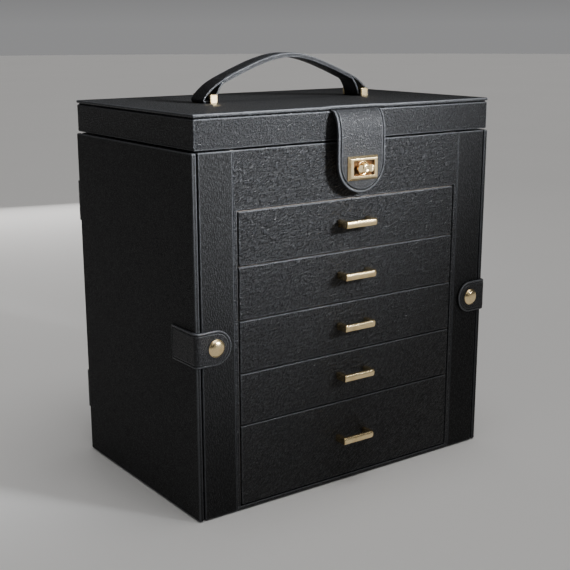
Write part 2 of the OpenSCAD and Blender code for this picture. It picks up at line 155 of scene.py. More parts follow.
class Finish:
    # a material with one Principled shader, built node by node
    def __init__(self, name, shader):
        self.material = bpy.data.materials.new(name)
        self.material.use_nodes = True
        self.tree = self.material.node_tree
        self.tree.nodes.clear()
        self.shader = self.node("ShaderNodeBsdfPrincipled", {}, shader).socket.node
        surface = Signal(self, self.shader.outputs[0])
        self.node("ShaderNodeOutputMaterial", {}, {"Surface": surface}, None)
        self.here = self.node("ShaderNodeTexCoord", {}, {}, "Object")

    def node(self, kind, settings, inputs, output=0):
        made = self.tree.nodes.new(kind)
        for key, value in settings.items():
            setattr(made, key, value)
        for key, value in inputs.items() if isinstance(inputs, dict) else enumerate(inputs):
            if isinstance(value, Signal):
                self.tree.links.new(value.socket, made.inputs[key])
            else:
                made.inputs[key].default_value = value
        return None if output is None else Signal(self, made.outputs[output])

    def feed(self, name, signal):
        self.tree.links.new(signal.socket, self.shader.inputs[name])

    def mix(self, factor, first, second):
        colours = {6: first, 7: second}
        return self.node("ShaderNodeMix", {"data_type": "RGBA"}, {0: factor, **colours}, 2)

    def fade(self, value, low, high):
        limits = {"Value": value, "From Min": low, "From Max": high}
        return self.node("ShaderNodeMapRange", {"interpolation_type": "SMOOTHSTEP"}, limits)

    def noise(self, where, size, detail=2.0, output=0):
        values = {"Vector": where, "Scale": 1 / size, "Detail": detail}
        return self.node("ShaderNodeTexNoise", {}, values, output)

    # turned to a direction (degrees about X, Y, Z) and stretched along it
    def laid(self, turn, stretch):
        angles = [math.radians(angle) for angle in turn]
        values = {"Vector": self.here, "Rotation": angles, "Scale": stretch}
        return self.node("ShaderNodeMapping", {"vector_type": "TEXTURE"}, values)

    # moved about by a noise, so that no line stays straight
    def wandering(self, where, size, amount):
        cloud = self.noise(where, size, 2, "Color")
        drift = self.vector("SUBTRACT", {0: cloud, 1: (0.5, 0.5, 0.5)})
        drift = self.vector("SCALE", {0: drift, "Scale": amount})
        return self.vector("ADD", {0: where, 1: drift})

    def vector(self, operation, values, output=0):
        return self.node("ShaderNodeVectorMath", {"operation": operation}, values, output)

    def bump(self, height, depth):
        values = {"Height": height, "Distance": depth, "Strength": 1.0}
        self.feed("Normal", self.node("ShaderNodeBump", {}, values))


def shade(red, green, blue):
    return (red, green, blue, 1.0)


leatherLook = {
    "tone": (0.0085, 0.0092, 0.0115),
    # crest: painted highlight on the grain's ridges; crease: painted shade in its creases
    "crest": (0.025, 0.0268, 0.0315),
    "crease": (0.002, 0.002, 0.0025),
    # edge: colour of the painted highlight on turned edges
    "edge": (0.085, 0.089, 0.098),
    "gloss": 0.40,
    "rough": 0.42,
    "creaseWidth": 0.34,  # share of a pebble
    "crestFade": (0.40, 0.64),
    "pebbleDrift": (6 * mm, 1.6 * mm),  # size and amount of the wandering
    "lineDrift": (5 * mm, 1.3 * mm),
    "swell": 5 * mm,
    "pore": 0.45 * mm,
    "broad": 26 * mm,
}
# soft wrinkles near one corner of the lid's front
wrinkleLook = {
    "centre": (0.118, -0.1, 0.313),
    "reach": 0.03,
    "turn": (0, -52, 0),
    "run": 9,
    "size": 4.5 * mm,
    "drift": (20 * mm, 2 * mm),
    "rise": 1.6,
}
# each grain: pebble size and depth, direction, length and strength of its wavy lines,
# broad unevenness, dullness and lightness; the lightness paints whole pieces lighter or darker for how the light
# falls on them: front pieces and straps lighter, top and sides darker (painted light and shade)
grains = {
    "frontLeather": {"size": 1.5 * mm, "depth": 0.85 * mm, "turn": (0, -27, 0), "run": 2.8,
                     "lines": 1.6, "uneven": 0.3, "dull": 0.0, "light": 1.1},
    "lidLeather": {"size": 1.2 * mm, "depth": 0.6 * mm, "turn": (0, -38, 0), "run": 1.6,
                   "lines": 1.4, "uneven": 0.25, "dull": 0.03, "light": 1.05,
                   "wrinkles": wrinkleLook},
    "topLeather": {"size": 1.2 * mm, "depth": 0.4 * mm, "turn": (0, 0, 30), "run": 1.6,
                   "lines": 1.2, "uneven": 0.25, "dull": 0.06, "light": 0.5},
    "stileLeather": {"size": 1.0 * mm, "depth": 0.32 * mm, "turn": (0, 84, 0), "run": 2.8,
                     "lines": 1.0, "uneven": 0.3, "dull": 0.25, "light": 0.5},
    "sideLeather": {"size": 1.0 * mm, "depth": 0.3 * mm, "turn": (8, 0, 0), "run": 1.4,
                    "lines": 0.7, "uneven": 0.5, "dull": 0.2, "light": 0.55},
    "strapLeather": {"size": 0.95 * mm, "depth": 0.3 * mm, "turn": (0, -48, 0), "run": 2.0,
                     "lines": 1.2, "uneven": 0.2, "dull": -0.06, "light": 1.25},
}


def leather(name, grain, look=leatherLook):
    finish = Finish(name, {"Specular IOR Level": look["gloss"]})
    # every colour is scaled by the piece's light: painted light and shade
    tone, crestTone, crease = (
        shade(*[value * grain["light"] for value in look[key]]) for key in ("tone", "crest", "crease"))
    turn, run = grain["turn"], grain["run"]
    flow = finish.wandering(finish.laid(turn, (run ** 0.5, 1, 1)), *look["pebbleDrift"])
    edge = finish.node("ShaderNodeTexVoronoi", {"feature": "DISTANCE_TO_EDGE"},
                       {"Vector": flow, "Scale": 1 / grain["size"], "Randomness": 0.95})
    pebble = finish.fade(edge, 0.0, look["creaseWidth"])
    strands = finish.wandering(finish.laid(turn, (run, 1, 1)), *look["lineDrift"])
    crest = finish.fade(finish.noise(strands, grain["size"], 1), *look["crestFade"])
    swell = finish.noise(flow, look["swell"], 2)
    pores = finish.noise(finish.here, look["pore"], 1)
    broad = finish.noise(finish.here, look["broad"], 2)
    turned = finish.node("ShaderNodeAttribute", {"attribute_name": "turnedEdge"}, {}, "Fac")
    height = pebble * 0.5 + crest * grain["lines"] + swell * 0.9 + pores * 0.14
    height = height + broad * (grain["uneven"] * 2)
    if "wrinkles" in grain:
        fold = grain["wrinkles"]
        strands = finish.wandering(finish.laid(fold["turn"], (fold["run"], 1, 1)), *fold["drift"])
        ridge = finish.noise(strands, fold["size"], 1)
        away = finish.vector("DISTANCE", {0: finish.here, 1: fold["centre"]}, "Value")
        near = finish.fade(away, fold["reach"], fold["reach"] * 0.35)
        height = height + finish.fade(ridge, 0.42, 0.6) * near * fold["rise"]
    finish.bump(height * (1 - turned * 0.8), grain["depth"])
    # ridges of the grain painted lighter (painted highlight), creases painted darker (painted shade)
    cover = finish.mix(crest * pebble, tone, crestTone)
    cover = finish.mix(pebble, crease, cover)
    # rings marked below 0 are painted dark: painted shade in the sewn groove
    cover = finish.mix(turned * -1, cover, crease)
    # turned edges painted light: a painted highlight, uneven with the swell
    wearAndPaintedHighlight = turned * (0.6 + swell * 0.6)
    finish.feed("Base Color", finish.mix(wearAndPaintedHighlight, cover, shade(*look["edge"])))
    rough = look["rough"] + grain["dull"] + (1 - pebble) * 0.25
    finish.feed("Roughness", rough - crest * 0.18 + swell * 0.1 - turned * 0.14)
    return finish.material


metalLook = {
    "polishedGold": {"tone": shade(0.96, 0.76, 0.43), "dull": shade(0.82, 0.60, 0.31),
                     "rough": 0.19, "scratch": 0.012 * mm},
    # dark bronze for the lock slot's floor: painted shade in the recess
    "recessShadeBronze": {"tone": shade(0.09, 0.046, 0.02), "dull": shade(0.03, 0.016, 0.008),
                   "rough": 0.4, "scratch": 0.03 * mm},
    "pinSteel": {"tone": shade(0.6, 0.6, 0.6), "dull": shade(0.5, 0.5, 0.5),
                 "rough": 0.28, "scratch": 0.02 * mm},
}


def metal(name, look):
    finish = Finish(name, {"Metallic": 1.0})
    patch = finish.noise(finish.here, 9 * mm, 3)
    line = finish.noise(finish.laid((0, 12, 8), (14, 1, 1)), 0.5 * mm, 2)
    wearAndPaintedHighlight = finish.fade(patch, 0.45, 0.75)
    finish.feed("Base Color", finish.mix(wearAndPaintedHighlight, look["tone"], look["dull"]))
    finish.feed("Roughness", look["rough"] + patch * 0.08 + line * 0.05)
    finish.bump(line, look["scratch"])
    return finish.material


lacquerLook = {"tone": shade(0.018, 0.018, 0.019), "rubbed": shade(0.06, 0.058, 0.055), "rough": 0.32, "coat": 0.3}


def lacquer(name, look):
    finish = Finish(name, {"Coat Weight": look["coat"], "Coat Roughness": 0.2})
    peel = finish.noise(finish.here, 1.8 * mm, 2)
    rub = finish.fade(finish.noise(finish.here, 5 * mm, 4), 0.62, 0.72)
    finish.feed("Base Color", finish.mix(rub, look["tone"], look["rubbed"]))
    finish.feed("Roughness", look["rough"] + peel * 0.15)
    finish.bump(peel, 0.03 * mm)
    return finish.material


clothLook = {
    "liningSuede": {"tone": shade(0.30, 0.27, 0.235), "brushed": shade(0.37, 0.335, 0.295),
                    "fibre": 0.5 * mm, "depth": 0.14 * mm, "sheen": 0.5},
    "rollSuede": {"tone": shade(0.36, 0.33, 0.29), "brushed": shade(0.44, 0.405, 0.36),
                  "fibre": 0.6 * mm, "depth": 0.16 * mm, "sheen": 0.6},
    "boardWrap": {"tone": shade(0.20, 0.17, 0.15), "brushed": shade(0.245, 0.21, 0.185),
                  "fibre": 0.8 * mm, "depth": 0.08 * mm, "sheen": 0.15},
    "baseFelt": {"tone": shade(0.018, 0.018, 0.018), "brushed": shade(0.035, 0.035, 0.035),
                 "fibre": 1.1 * mm, "depth": 0.3 * mm, "sheen": 0.3},
}


def cloth(name, look):
    base = {"Sheen Weight": look["sheen"], "Sheen Roughness": 0.6, "Specular IOR Level": 0.2}
    finish = Finish(name, base)
    nap = finish.noise(finish.wandering(finish.here, 12 * mm, 6 * mm), 16 * mm, 3)
    fibre = finish.noise(finish.laid((20, 10, 35), (2.5, 1, 1)), look["fibre"], 3)
    brushed = finish.fade(nap, 0.4, 0.62) * 0.7 + fibre * 0.3
    finish.feed("Base Color", finish.mix(brushed, look["tone"], look["brushed"]))
    finish.feed("Roughness", 0.82 + fibre * 0.15)
    finish.bump(fibre + nap * 0.8, look["depth"])
    return finish.material


# finishes with one even cloud of tone: its size and detail, and how far it varies roughness and height
plainLook = {
    "threadDark": {"low": shade(0.02, 0.021, 0.024), "high": shade(0.075, 0.078, 0.085), "size": 0.25 * mm,
                   "detail": 2, "rough": 0.45, "vary": 0.2, "depth": 0.06 * mm,
                   "base": {"Specular IOR Level": 0.4}},
    "mirrorGlass": {"low": shade(0.83, 0.86, 0.88), "high": shade(0.88, 0.91, 0.93), "size": 45 * mm,
                    "detail": 3, "rough": 0.015, "vary": 0.03, "depth": 0, "base": {"Metallic": 1.0}},
    "floorPaint": {"low": shade(0.86, 0.855, 0.845), "high": shade(0.90, 0.895, 0.885), "size": 0.6,
                   "detail": 3, "rough": 0.65, "vary": 0.1, "depth": 0, "base": {"Specular IOR Level": 0.25}},
}


def plain(name, look):
    finish = Finish(name, look["base"])
    cloud = finish.noise(finish.here, look["size"], look["detail"])
    finish.feed("Base Color", finish.mix(cloud, look["low"], look["high"]))
    finish.feed("Roughness", look["rough"] + cloud * look["vary"])
    if look["depth"]:
        finish.bump(cloud, look["depth"])
    return finish.material


finishes = {name: leather(name, grain) for name, grain in grains.items()}
finishes.update({name: cloth(name, look) for name, look in clothLook.items()})
finishes.update({name: metal(name, look) for name, look in metalLook.items()})
finishes["hingeLacquer"] = lacquer("hingeLacquer", lacquerLook)
finishes.update({name: plain(name, look) for name, look in plainLook.items()})
print("finishes made:", len(finishes))


def emptyShape():
    shape = bmesh.new()
    shape.faces.layers.float.new("turnedEdge")
    return shape


def board(lo, hi):
    lo, hi = Vector(lo), Vector(hi)
    shape = emptyShape()
    bmesh.ops.create_cube(shape, size=1)
    bmesh.ops.scale(shape, vec=hi - lo, verts=shape.verts)
    bmesh.ops.translate(shape, vec=(lo + hi) / 2, verts=shape.verts)
    return shape


def faceMiddle(face):
    return face.calc_center_median()


def only(parts, kind):
    return [part for part in parts if isinstance(part, kind)]


def sharpEdges(shape, least=0.6):
    return [edge for edge in shape.edges if len(edge.link_faces) == 2 and edge.calc_face_angle() > least]


def bevelEdges(shape, edges, radius, steps, clamped=False):
    return bmesh.ops.bevel(shape, geom=edges, offset=radius, offset_type="OFFSET", segments=steps,
                           profile=0.5, affect="EDGES", material=-1, clamp_overlap=clamped)


# rounds edges and marks the new faces, which the leather paints lighter, most of all on upper edges: a painted
# highlight where the overhead light would catch them
def turnEdges(shape, edges, radius, steps=3):
    layer = shape.faces.layers.float.get("turnedEdge")
    made = bevelEdges(shape, edges, radius, steps, True)
    if layer:
        for face in made["faces"]:
            face.normal_update()
            # upward faces take the full painted highlight, the others half
            face[layer] = 1.0 if face.normal.z > 0.3 else 0.5


def cutAt(shape, point, across, **kept):
    parts = shape.verts[:] + shape.edges[:] + shape.faces[:]
    return bmesh.ops.bisect_plane(shape, geom=parts, dist=1e-7, plane_co=point, plane_no=across, **kept)


def sliceAt(shape, places, axis=0):
    for place in places:
        point, across = [0, 0, 0], [0, 0, 0]
        point[axis], across[axis] = place, 1
        cutAt(shape, point, across)


def evenly(lo, hi, count):
    return [lo + (hi - lo) * step / (count + 1) for step in range(1, count + 1)]


def pushFaces(shape, faces, move):
    made = bmesh.ops.extrude_face_region(shape, geom=faces)
    bmesh.ops.delete(shape, geom=faces, context="FACES_ONLY")
    bmesh.ops.translate(shape, vec=move, verts=only(made["geom"], bmesh.types.BMVert))


def insetFace(shape, face, thick, depth=0.0):
    bmesh.ops.inset_region(shape, faces=[face], thickness=thick, depth=depth, use_even_offset=True)


# adds a piece at the origin with its place in its mesh
def addPiece(name, shape, finish, body, replaced=(), inner=None, weighted=True):
    mesh = bpy.data.meshes.new(name)
    bmesh.ops.recalc_face_normals(shape, faces=shape.faces)
    shape.to_mesh(mesh)
    shape.free()
    mesh.polygons.foreach_set("use_smooth", [True] * len(mesh.polygons))
    piece = addObject(name, mesh)
    mesh.materials.append(finishes[finish])
    if inner:
        mesh.materials.append(finishes[inner])
    if weighted:
        piece.modifiers.new("flatFaces", "WEIGHTED_NORMAL").keep_sharp = True
    if body:
        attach(piece, body)
    if replaced:
        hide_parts(*replaced)
    return piece


# how far in a door's lining starts, and how deep it lies
liningLook = {"inset": 7 * mm, "depth": 0.3 * mm}


# a covered board in a CAD node's place
def coveredBoard(node, body, finish, edge, linedSide=0):
    shape = board(*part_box(node))
    turnEdges(shape, shape.edges[:], edge)
    if linedSide:  # the leather turns over the edge, and the lining starts a little way in
        lined = max(shape.faces, key=lambda face: face.normal.x * linedSide * face.calc_area())
        insetFace(shape, lined, liningLook["inset"])
        insetFace(shape, lined, liningLook["depth"], -liningLook["depth"])
        lined.material_index = 1
    inner = "liningSuede" if linedSide else None
    return addPiece(node + "_cover", shape, finish, body, [node], inner=inner)


# a CAD node kept as it is, with its edges softened and a better finish
def dressNode(node, finish, soften=0.3 * mm):
    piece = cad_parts[node]
    for place in piece.material_slots:
        place.link = "OBJECT"
        place.material = finishes[finish]
    if soften:
        piece.modifiers.new("joined", "WELD").merge_threshold = 1e-6
        rounded = piece.modifiers.new("softEdges", "BEVEL")
        rounded.width, rounded.segments, rounded.limit_method = soften, 2, "ANGLE"
        rounded.angle_limit = math.radians(35)
        rounded.harden_normals = False


class Track:
    # a line in a plane; at(s) gives the point at length s and the direction square to it
    def __init__(self, points, side=1):
        self.points = [Vector(point) for point in points]
        self.side = side
        self.lengths = [0.0]
        for first, second in zip(self.points, self.points[1:]):
            self.lengths.append(self.lengths[-1] + (second - first).length)
        self.length = self.lengths[-1]

    def squareTo(self, index):
        along = self.points[min(index + 1, len(self.points) - 1)] - self.points[max(index - 1, 0)]
        return Vector((along.y, -along.x)).normalized() * self.side

    def at(self, s):
        index = 0
        while index < len(self.points) - 2 and s > self.lengths[index + 1]:
            index += 1
        share = (s - self.lengths[index]) / (self.lengths[index + 1] - self.lengths[index])
        point = self.points[index].lerp(self.points[index + 1], share)
        held = min(max(share, 0.0), 1.0)
        return point, self.squareTo(index).lerp(self.squareTo(index + 1), held).normalized()


# bends a flat shape (X along, Y across, Z out) along a track;
# place turns a point of the track's plane and a distance across into a point
def bendAlong(shape, track, place):
    for vert in shape.verts:
        point, out = track.at(vert.co.x)
        vert.co = place(point + out * vert.co.z, vert.co.y)


# arc points from one angle to another, in degrees
def arc(centre, radius, start, end, count):
    angles = [math.radians(start + (end - start) * step / count) for step in range(count + 1)]
    return [(centre[0] + radius * math.cos(a), centre[1] + radius * math.sin(a)) for a in angles]


# a flat plate with one half-round end at +X, its face up
def roundEndPlate(width, length, steps=64):
    shape = emptyShape()
    bmesh.ops.create_circle(shape, cap_ends=True, segments=steps, radius=width / 2)
    cutAt(shape, (0, 0, 0), (1, 0, 0), clear_inner=True)
    straight = [edge for edge in shape.edges if all(abs(vert.co.x) < 1e-6 for vert in edge.verts)]
    made = bmesh.ops.extrude_edge_only(shape, edges=straight)
    pulled = only(made["geom"], bmesh.types.BMVert)
    bmesh.ops.translate(shape, vec=(width / 2 - length, 0, 0), verts=pulled)
    bmesh.ops.dissolve_edges(shape, edges=straight, use_verts=False)
    bmesh.ops.translate(shape, vec=(length - width / 2, 0, 0), verts=shape.verts)
    shape.faces.ensure_lookup_table()
    if shape.faces[0].normal.z < 0:
        bmesh.ops.reverse_faces(shape, faces=shape.faces[:])
    return shape


# a padded plate with a sewn groove, its top at height 0; rings in millimetres, inwards from the outline
def padPlate(shape, rings, thick):
    layer = shape.faces.layers.float.get("turnedEdge")
    top = shape.faces[0]
    highest = 0
    for inset, rise, turned in rings:
        made = bmesh.ops.inset_region(shape, faces=[top], thickness=inset * mm, depth=rise * mm,
                                      use_even_offset=True, use_boundary=True)
        for ring in made["faces"]:
            # the ring's mark: above 0 a painted highlight, below 0 painted shade
            ring[layer] = turned
        highest += rise * mm
    rim = [edge for edge in shape.edges if edge.is_boundary]
    made = bmesh.ops.extrude_edge_only(shape, edges=rim)
    lower = only(made["geom"], bmesh.types.BMVert)
    bmesh.ops.translate(shape, vec=(0, 0, highest - thick), verts=lower)
    rim = [edge for edge in shape.edges if edge.is_boundary]
    under = bmesh.ops.holes_fill(shape, edges=rim, sides=0)
    for face in under["faces"]:
        face[layer] = 0.0
    bmesh.ops.translate(shape, vec=(0, 0, -highest), verts=shape.verts)


# a row of stitches between two points of a flat plate
def stitchRow(shape, start, end, height, pitch=2.3 * mm, long=1.55 * mm, thick=0.42 * mm):
    start, end = Vector(start), Vector(end)
    count = max(1, round((end - start).length / pitch))
    turn = math.atan2(end.y - start.y, end.x - start.x)
    for step in range(count):
        middle = start.lerp(end, (step + 0.5) / count)
        place = Matrix.Translation((middle.x, middle.y, height)) @ Matrix.Rotation(turn, 4, "Z")
        size = Matrix.Diagonal((long / 2, thick / 2, thick / 2, 1))
        bmesh.ops.create_icosphere(shape, subdivisions=1, radius=1, matrix=place @ size)


# a turned part from a profile of (radius, height) in millimetres, standing at a point along -Y, or +Y
def turnedPart(profile, place, steps=48, facing=-1):
    shape = bmesh.new()
    verts = [shape.verts.new((radius * mm, facing * height * mm, 0)) for radius, height in profile]
    edges = [shape.edges.new(pair) for pair in zip(verts, verts[1:])]
    bmesh.ops.spin(shape, geom=verts + edges, cent=(0, 0, 0), axis=(0, 1, 0), angle=2 * math.pi,
                   steps=steps, use_merge=True)
    bmesh.ops.remove_doubles(shape, verts=shape.verts, dist=1e-6)
    bmesh.ops.translate(shape, vec=place, verts=shape.verts)
    return shape


def joinShapes(first, *others):
    for other in others:
        mesh = bpy.data.meshes.new("joining")
        other.to_mesh(mesh)
        other.free()
        first.from_mesh(mesh)
        bpy.data.meshes.remove(mesh)
    return first


def middleOf(node):
    lo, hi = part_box(node)
    return (lo + hi) / 2


carcassLook = {
    "edge": 1.0 * mm,
    "frameEdge": 0.9 * mm,
    "railGap": 1.2 * mm,  # over the top drawer
    "jamb": 3.5 * mm,
    "lipShort": 31 * mm,  # how much shorter the base's lip is at each end
    "lipDeep": 6 * mm,
    "setBack": 3 * mm,  # of the base behind its lip
}


def makeCarcass(look):
    for side in sides:
        coveredBoard(side + "_stile", "root", "stileLeather", look["edge"])
        dressNode(side + "_divider", "liningSuede")
    coveredBoard("back_panel", "root", "sideLeather", look["edge"])
    lo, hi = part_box("front_frame")
    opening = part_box("drawer_1_front")[1].z + look["railGap"]
    inner = hi.x - look["jamb"]
    shape = board((lo.x, lo.y, opening), hi)
    sliceAt(shape, (-inner, inner))
    legs = [face for face in shape.faces if face.normal.z < -0.9 and abs(faceMiddle(face).x) > inner]
    pushFaces(shape, legs, (0, 0, lo.z - opening))
    turnEdges(shape, sharpEdges(shape), look["frameEdge"])
    addPiece("front_frame_cover", shape, "frontLeather", "root", ["front_frame"])
    lo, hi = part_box("base_board")
    lip = hi.x - look["lipShort"]
    shape = board((lo.x, lo.y + look["setBack"], lo.z), hi)
    front = board((-lip, lo.y, lo.z), (lip, lo.y + look["lipDeep"], hi.z))
    turnEdges(front, front.edges[:], look["frameEdge"])
    shape = joinShapes(shape, front)
    addPiece("base_board_cover", shape, "frontLeather", "root", ["base_board"])
    dressNode("side_roofs", "lidLeather")
    dressNode("tray_floor", "boardWrap")
    dressNode("drawer_shelves", "boardWrap")
    dressNode("base_felt", "baseFelt", 0.2 * mm)


lidLook = {
    "edge": 1.0 * mm,
    "wall": 4 * mm,
    "board": 2.5 * mm,  # thickness of the top board
    "nose": 1.15 * mm,  # rounding of its edge
    "lift": 0.45 * mm,  # its rise over the tab
    "liftHalf": 25 * mm,
    "liftDeep": 12 * mm,
    "groove": 2 * mm,  # how far the layer under it is set in
    "slotHalf": 25.3 * mm,  # half the width left open there for the tab
    "slotEnd": -60 * mm,
    "mirrorFrame": {"reach": 3 * mm, "proud": 0.6 * mm, "wide": 4 * mm, "rise": 0.7 * mm, "edge": 0.5 * mm},
}


def makeLid(look):
    lo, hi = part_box("lid_rim")
    wall = look["wall"]
    shape = board(lo, hi)
    caps = [face for face in shape.faces if abs(face.normal.z) > 0.9]
    bmesh.ops.inset_individual(shape, faces=caps, thickness=wall, use_even_offset=True)
    holes = [face for face in shape.faces if abs(face.normal.z) > 0.9
             and abs(faceMiddle(face).x) < 1e-6 and abs(faceMiddle(face).y) < 1e-6]
    loops = [edge for face in holes for edge in face.edges]
    bmesh.ops.delete(shape, geom=holes, context="FACES_ONLY")
    bmesh.ops.bridge_loops(shape, edges=loops)
    bmesh.ops.recalc_face_normals(shape, faces=shape.faces)
    turnEdges(shape, sharpEdges(shape), look["edge"])
    lined = hi - Vector((wall, wall, 0)) * 0.95
    for face in shape.faces:
        middle = faceMiddle(face)
        if abs(middle.x) < lined.x and abs(middle.y) < lined.y:
            face.material_index = 1
    addPiece("lid_rim_cover", shape, "lidLeather", "lid", ["lid_rim"], inner="liningSuede")

    lo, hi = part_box("lid_top_board")
    under = hi.z - look["board"]
    shape = board((lo.x, lo.y, under), hi)
    half, deep = look["liftHalf"], look["liftDeep"]
    sliceAt(shape, evenly(-half * 1.5, half * 1.5, 23))
    sliceAt(shape, (lo.y + deep / 2, lo.y + deep), 1)
    turnEdges(shape, sharpEdges(shape), look["nose"], 4)
    for vert in shape.verts:
        near = smooth((lo.y + deep - vert.co.y) / (deep * 0.75))
        over = smooth((half * 1.4 - abs(vert.co.x)) / (half * 0.5))
        vert.co.z += look["lift"] * near * over
    addPiece("lid_top_cover", shape, "topLeather", "lid", ["lid_top_board"])
    groove, slotHalf, slotEnd = look["groove"], look["slotHalf"], look["slotEnd"]
    spacer = board((lo.x + groove, lo.y + groove, lo.z), (hi.x - groove, hi.y - groove, under + 0.2 * mm))
    sliceAt(spacer, (-slotHalf, slotHalf))
    sliceAt(spacer, (slotEnd,), 1)
    slot = [face for face in spacer.faces if abs(faceMiddle(face).x) < slotHalf and faceMiddle(face).y < slotEnd
            and (abs(face.normal.z) > 0.9 or face.normal.y < -0.9)]
    bmesh.ops.delete(spacer, geom=slot, context="FACES")
    # the spacer takes the darker side leather: painted shade in the groove under the top board
    addPiece("lid_spacer", spacer, "sideLeather", "lid")
    dressNode("tab_anchor", "strapLeather")
    dressNode("handle_staples", "polishedGold", 0.7 * mm)
    dressNode("lid_mirror", "mirrorGlass", 0.4 * mm)

    lo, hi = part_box("lid_mirror")
    rim = look["mirrorFrame"]
    around = Vector((rim["reach"], rim["reach"], 0))
    ring = board(lo - around - Vector((0, 0, rim["proud"])), hi + around)
    face = min(ring.faces, key=lambda one: faceMiddle(one).z)
    insetFace(ring, face, rim["wide"])
    insetFace(ring, face, 0.05 * mm, -rim["rise"])
    bmesh.ops.delete(ring, geom=[face], context="FACES")
    turnEdges(ring, sharpEdges(ring), rim["edge"])
    addPiece("mirror_frame", ring, "lidLeather", "lid")


handleLook = {
    "gripEnd": 70 * mm,
    "rise": 38.5 * mm,
    "nose": 18 * mm,  # roundness of the grip's middle
    "slope": 0.49,  # slope of its flanks
    "gripThick": 3.6 * mm,
    "ply": 1.6 * mm,
    "wide": 20 * mm,
    "stapleX": 82.5 * mm,
    "turn": 1.6 * mm,
    "lean": 35,  # degrees that the outer ply leans where it meets the turn
    "outerFoot": 6 * mm,  # how far the turn reaches past the staple
    "innerFoot": 2.7 * mm,
    "fuller": 0.35 * mm,
    "hem": {"inset": 2.4 * mm, "stitch": {"pitch": 3 * mm, "long": 2.1 * mm, "thick": 0.4 * mm}},
}


def bezier(points, t):
    points = [Vector(point) for point in points]
    while len(points) > 1:
        points = [first.lerp(second, t) for first, second in zip(points, points[1:])]
    return points[0]


def makeHandle(look):
    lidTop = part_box("lid_top_board")[1].z
    half, thick, ply = look["wide"] / 2, look["gripThick"], look["ply"]

    def place(point, across, sign=1):
        return Vector((sign * point.x, across, point.y))

    gripLine = []
    for step in range(49):
        x = look["gripEnd"] * (1 - step / 24)
        drop = math.hypot(look["nose"], look["slope"] * x) - look["nose"]
        gripLine.append(Vector((x, lidTop + look["rise"] - drop)))
    track = Track(gripLine)
    grip = board((0, -half, -thick / 2), (track.length, half, thick / 2))
    turnEdges(grip, sharpEdges(grip), 0.7 * mm)
    sliceAt(grip, evenly(0, track.length, 47))
    sliceAt(grip, (-half * 0.6, -half * 0.2, half * 0.2, half * 0.6), 1)
    for vert in grip.verts:  # a little fuller along the middle
        if abs(vert.co.z) > thick * 0.45:
            vert.co.z += math.copysign(look["fuller"], vert.co.z) * (1 - (vert.co.y / half) ** 2)
    bendAlong(grip, track, place)
    addPiece("handle_grip_cover", grip, "strapLeather", "handle", ["handle_grip"])
    hems = bmesh.new()
    hem = look["hem"]
    start, end = 3 * mm, track.length - 3 * mm
    for across in (-half + hem["inset"], half - hem["inset"]):
        stitchRow(hems, (start, across), (end, across), thick / 2 + 0.22 * mm, **hem["stitch"])
    bendAlong(hems, track, place)
    addPiece("handle_stitches", hems, "threadDark", "handle", weighted=False)

    along = (gripLine[0] - gripLine[1]).normalized()
    square = Vector((-along.y, along.x))
    outerStart = gripLine[0] + square * (thick / 4)
    innerStart = gripLine[0] - square * (thick / 4)
    turn, lean = look["turn"], math.radians(look["lean"])
    low = lidTop + 0.3 * mm + ply / 2
    outX, inX = look["stapleX"] + look["outerFoot"], look["stapleX"] - look["innerFoot"]
    outerFoot = Vector((outX + turn * math.cos(lean), low + turn + turn * math.sin(lean)))
    innerFoot = Vector((inX - turn, low + turn))
    leaning = Vector((-math.sin(lean), math.cos(lean)))
    outer = [outerStart, outerStart + along * 9 * mm, outerFoot + leaning * 6 * mm, outerFoot]
    inner = [innerFoot, innerFoot + Vector((-1.2 * mm, 5.3 * mm)), innerStart + along * 3.5 * mm, innerStart]
    line = [bezier(outer, step / 14) for step in range(14)]
    line += arc((outX, low + turn), turn, look["lean"], -90, 6)
    line += arc((inX, low + turn), turn, -90, -165, 4)
    line += [bezier(inner, step / 12) for step in range(13)]
    track = Track(line)
    for side, sign in sides.items():
        loop = board((0, -half, -ply / 2 + 0.03 * mm), (track.length, half, ply / 2 - 0.03 * mm))
        turnEdges(loop, sharpEdges(loop), 0.45 * mm, 2)
        sliceAt(loop, evenly(0, track.length, 90))
        bendAlong(loop, track, lambda point, across: place(point, across, sign))
        addPiece("handle_loop_" + side, loop, "strapLeather", "handle", ["handle_loops"])


tabLook = {
    "wide": 50 * mm,
    "thick": 3 * mm,
    "fall": 22 * mm,  # height over which it curves down from the lid
    "hidden": 4 * mm,  # length that lies under the top board
    "hiddenThick": 1.06 * mm,
    # the rolled edge and sewn groove: inset and rise in mm, and how the leather is painted there: 1 a painted
    # highlight on the rolled edge, -1 painted shade in the groove, values between weaker
    "rings": [(0.35, 0.45, 1), (0.6, 0.3, 1), (0.9, 0.05, 0.4), (0.2, -1.1, -1),
              (0.9, 0.0, -1), (0.2, 1.1, 0.2), (0.5, 0.1, 1), (1.4, 0.1, 0)],
}
lockLook = {"wide": 32 * mm, "high": 20 * mm, "thick": 2.7 * mm, "bevel": 2 * mm, "slotWide": 22 * mm,
            "slotHigh": 12.5 * mm, "floor": 0.6 * mm}
seatProfile = [(5.0, 0), (5.0, 0.5), (5.3, 0.8), (5.7, 0.8), (6.0, 0.5), (6.0, 0)]
knobLook = {
    "rise": 3.0 * mm,  # from the back of the wing to the boss's face
    "thick": 2.2 * mm,
    "long": 17 * mm,
    "waist": 2.0 * mm,
    "swell": 0.95 * mm,
    "swellAt": 5.6 * mm,
    "camThick": 2.2,  # in millimetres, like the profiles
    "camWide": 4.5 * mm,
}
bossProfile = [(0, 3.0), (0.9, 2.45), (1.5, 2.55), (1.9, 2.95), (2.6, 3.0), (3.3, 2.85), (3.8, 2.4),
               (4.0, 1.8), (4.0, 0.2), (4.5, 0), (4.5, -1.6), (2.2, -1.6), (2.2, -11.2), (0, -11.2)]
washerProfile = [(2.1, 0), (4.0, 0), (4.0, 0.5), (2.1, 0.5), (2.1, 0)]


